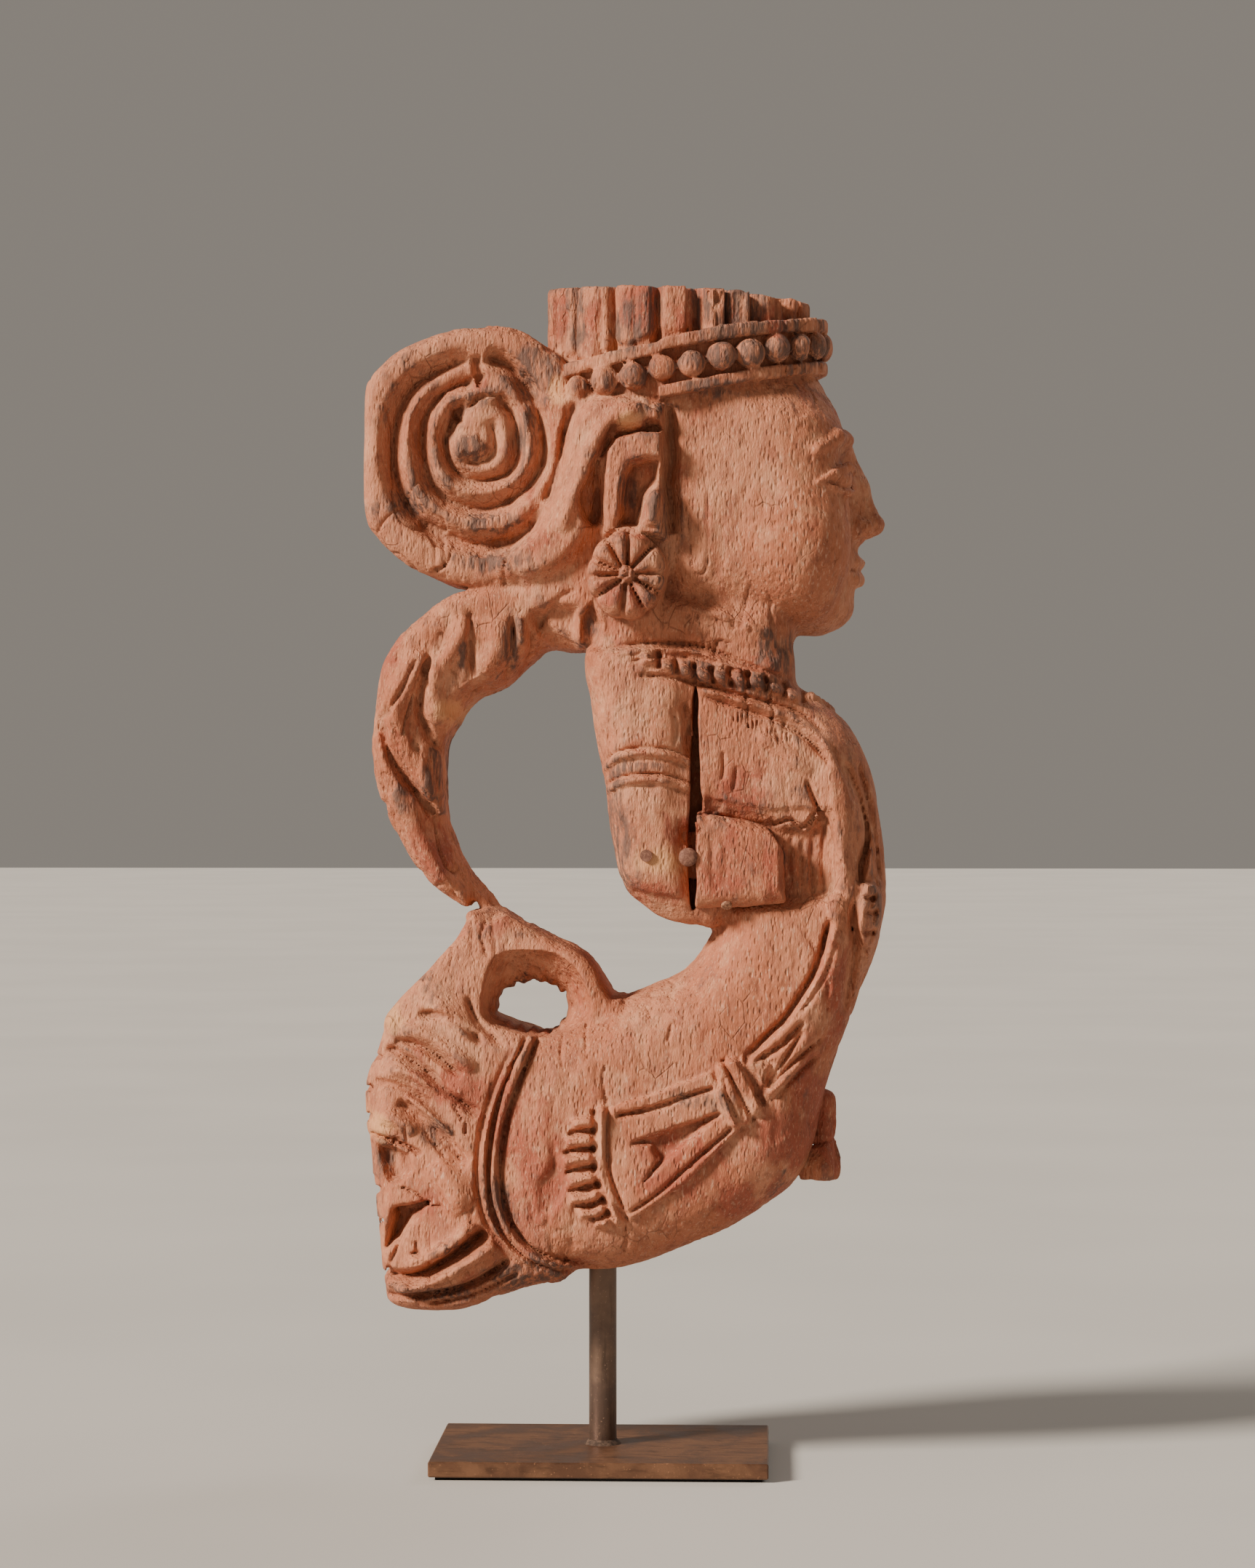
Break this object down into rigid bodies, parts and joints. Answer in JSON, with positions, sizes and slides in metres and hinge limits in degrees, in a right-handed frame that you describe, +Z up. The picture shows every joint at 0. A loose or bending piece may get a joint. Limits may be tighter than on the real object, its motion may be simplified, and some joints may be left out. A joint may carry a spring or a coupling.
{
  "type": "carved wooden figure on stand",
  "caption": "Weathered carved wooden bracket figure with crowned head, scroll of hair, curved body and creature head, turning on a steel post and rectangular base plate.",
  "frame": {"origin": "centre of the underside of the base, on the axis of the round post", "axes": "+Z up along the post, +X the way the figure faces, +Y away from the side first seen"},
  "size_m": [0.244, 0.11, 0.538],
  "materials": {
    "weathered_wood": "dry weathered timber, matt",
    "peg_wood": "dark end grain, matt",
    "iron_pin": "dull rusted iron",
    "patinated_steel": "brown patina, waxed",
    "weld_steel": "as welded, patinated",
    "felt": "black felt"
  },
  "bodies": {
    "stand": {"base_plate": "patinated_steel", "base_felt": "felt", "stand_post": "patinated_steel", "post_weld": "weld_steel"},
    "carving": {"carved_figure": "weathered_wood", "near_forearm": "weathered_wood", "far_forearm": "weathered_wood", "near_elbow_pin": "iron_pin", "far_elbow_pin": "iron_pin", "near_joint_nail": "iron_pin", "far_joint_nail": "iron_pin", "near_forearm_peg": "peg_wood", "far_forearm_peg": "peg_wood"}
  },
  "joints": [
    {"name": "carving_turn", "type": "hinge", "parent": "stand", "child": "carving", "pos_m": [0, 0, 0.1], "axis": [0, 0, 1], "continuous": true}
  ]
}
